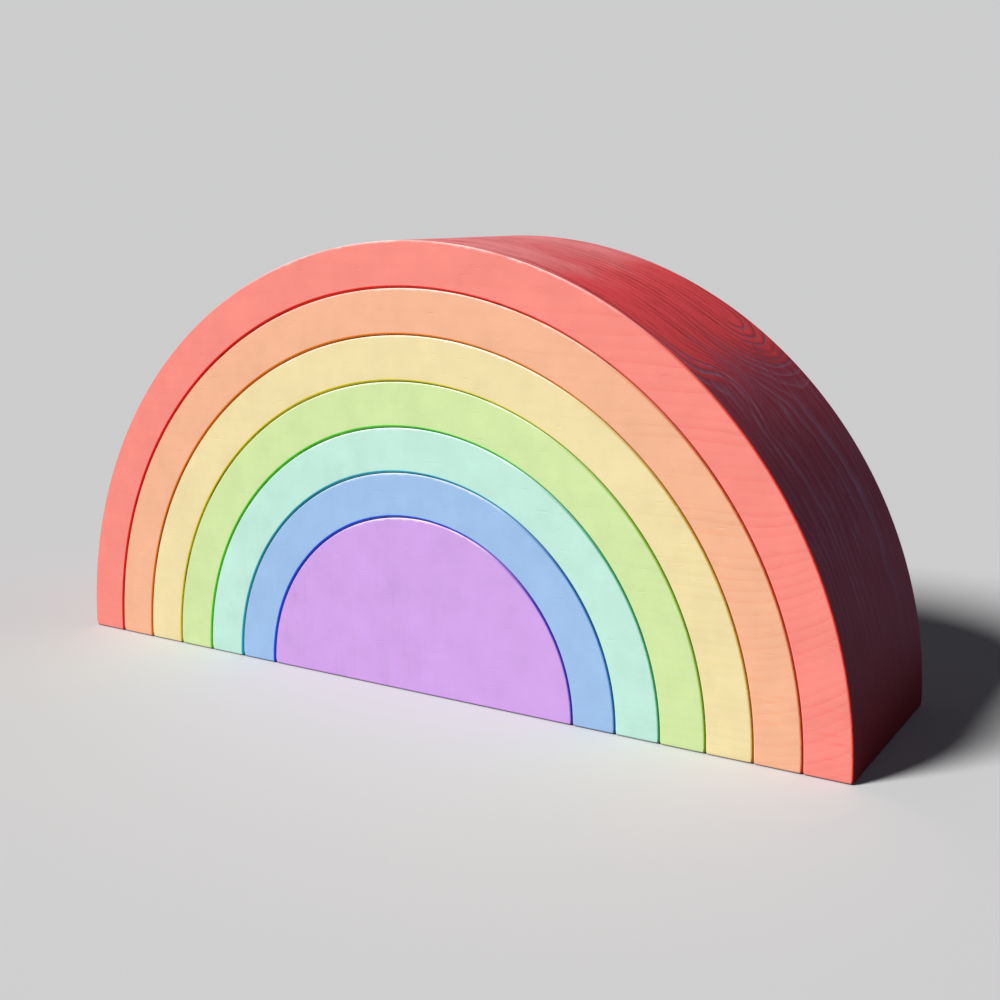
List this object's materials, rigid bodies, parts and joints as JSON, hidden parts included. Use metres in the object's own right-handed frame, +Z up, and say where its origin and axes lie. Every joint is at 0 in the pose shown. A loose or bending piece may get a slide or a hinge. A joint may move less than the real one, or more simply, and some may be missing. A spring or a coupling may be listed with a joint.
{
  "type": "rainbow stacker",
  "caption": "Wooden rainbow stacker: half-ring arches in pastel rainbow colours nest flush round a solid half-disc. Every piece is loose, stands by itself and draws out of the nest.",
  "frame": {"origin": "middle of the surface that the set stands on, on the centre line of all the arches", "axes": "+X across the set to the right as seen from the front, +Y from the front faces to the back faces, +Z up"},
  "size_m": [0.26, 0.065, 0.13],
  "materials": {
    "red_wood": "dyed wood with a thin satin oil finish, grain showing faintly, edges sanded round",
    "orange_wood": "dyed wood with a thin satin oil finish, grain showing faintly, edges sanded round",
    "yellow_wood": "dyed wood with a thin satin oil finish, grain showing faintly, edges sanded round",
    "green_wood": "dyed wood with a thin satin oil finish, grain showing faintly, edges sanded round",
    "mint_wood": "dyed wood with a thin satin oil finish, grain showing faintly, edges sanded round",
    "blue_wood": "dyed wood with a thin satin oil finish, grain showing faintly, edges sanded round",
    "violet_wood": "dyed wood with a thin satin oil finish, grain showing faintly, edges sanded round"
  },
  "bodies": {
    "red_arch": {"red_arch": "red_wood"},
    "orange_arch": {"orange_arch": "orange_wood"},
    "yellow_arch": {"yellow_arch": "yellow_wood"},
    "green_arch": {"green_arch": "green_wood"},
    "mint_arch": {"mint_arch": "mint_wood"},
    "blue_arch": {"blue_arch": "blue_wood"},
    "violet_core": {"violet_core": "violet_wood"}
  },
  "joints": [
    {"name": "orange_arch_slide", "type": "slide", "parent": "red_arch", "child": "orange_arch", "axis": [0, -1, 0], "range_m": [-0.07, 0.07]},
    {"name": "yellow_arch_slide", "type": "slide", "parent": "orange_arch", "child": "yellow_arch", "axis": [0, -1, 0], "range_m": [-0.07, 0.07]},
    {"name": "green_arch_slide", "type": "slide", "parent": "yellow_arch", "child": "green_arch", "axis": [0, -1, 0], "range_m": [-0.07, 0.07]},
    {"name": "mint_arch_slide", "type": "slide", "parent": "green_arch", "child": "mint_arch", "axis": [0, -1, 0], "range_m": [-0.07, 0.07]},
    {"name": "blue_arch_slide", "type": "slide", "parent": "mint_arch", "child": "blue_arch", "axis": [0, -1, 0], "range_m": [-0.07, 0.07]},
    {"name": "violet_core_slide", "type": "slide", "parent": "blue_arch", "child": "violet_core", "axis": [0, -1, 0], "range_m": [-0.07, 0.07]}
  ]
}
